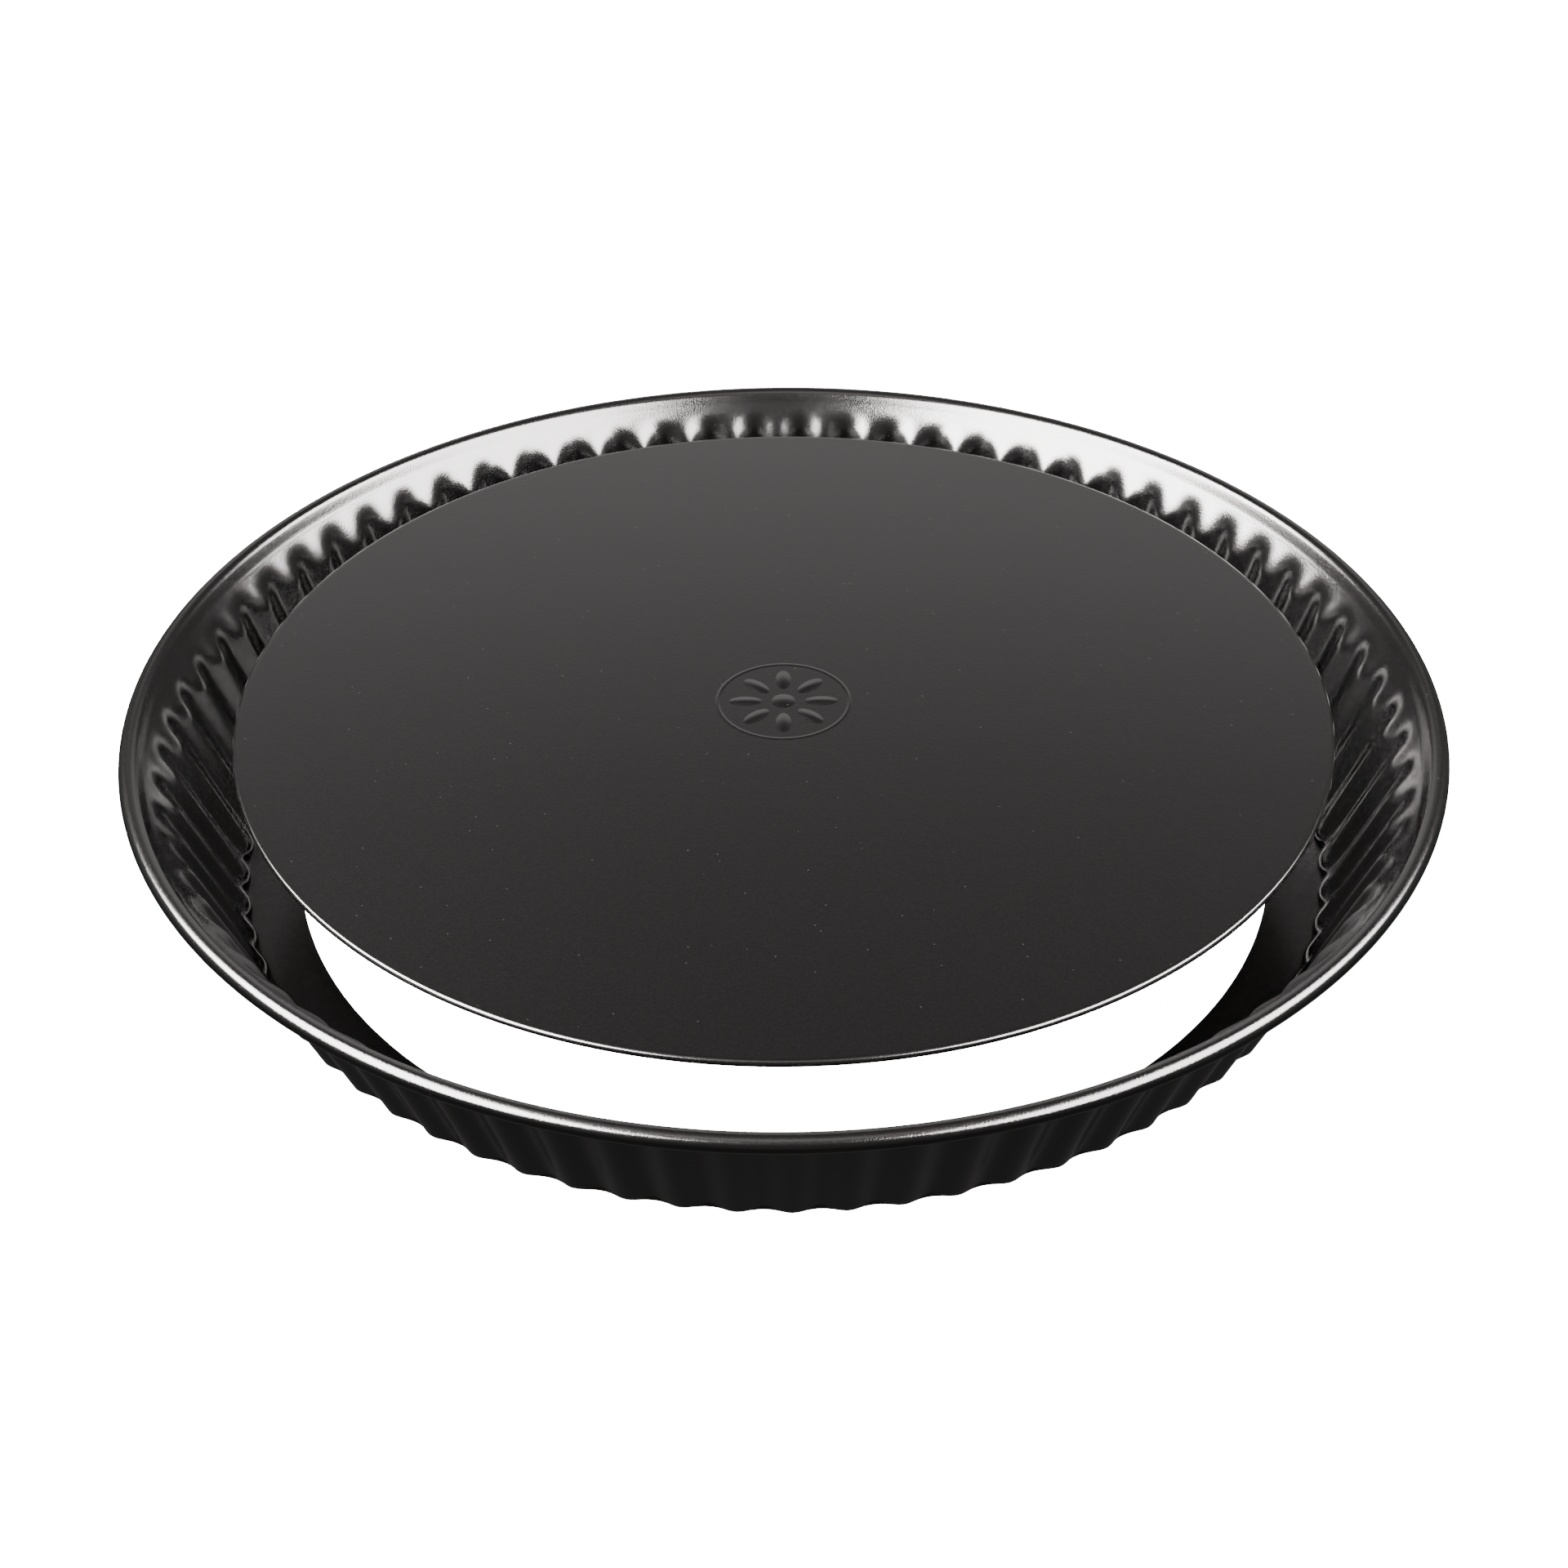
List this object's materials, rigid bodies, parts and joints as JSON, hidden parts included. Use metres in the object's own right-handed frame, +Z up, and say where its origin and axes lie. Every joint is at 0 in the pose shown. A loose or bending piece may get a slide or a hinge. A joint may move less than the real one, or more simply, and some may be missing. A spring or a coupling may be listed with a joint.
{
  "type": "loose-bottom tart pan",
  "caption": "Round fluted tart pan: a ring with a rolled rim and an inward ledge, and a loose flat base plate that lifts straight out.",
  "frame": {"origin": "centre of the ring's underside, on the pan's axis, in the plane the pan stands on", "axes": "+Z up along the pan's axis of symmetry; -Y is the front, with one flute's crest half a degree from it; +X is to the right seen from the front"},
  "size_m": [0.29, 0.29, 0.0394],
  "materials": {
    "ring_coating": "satin non-stick coating on steel",
    "base_coating": "satin non-stick coating on steel"
  },
  "bodies": {
    "ring": {"fluted_ring": "ring_coating"},
    "base": {"base_plate": "base_coating"}
  },
  "joints": [
    {"name": "base_lift", "type": "slide", "parent": "ring", "child": "base", "axis": [0, 0, 1], "range_m": [-0.0355, 0.1]}
  ]
}
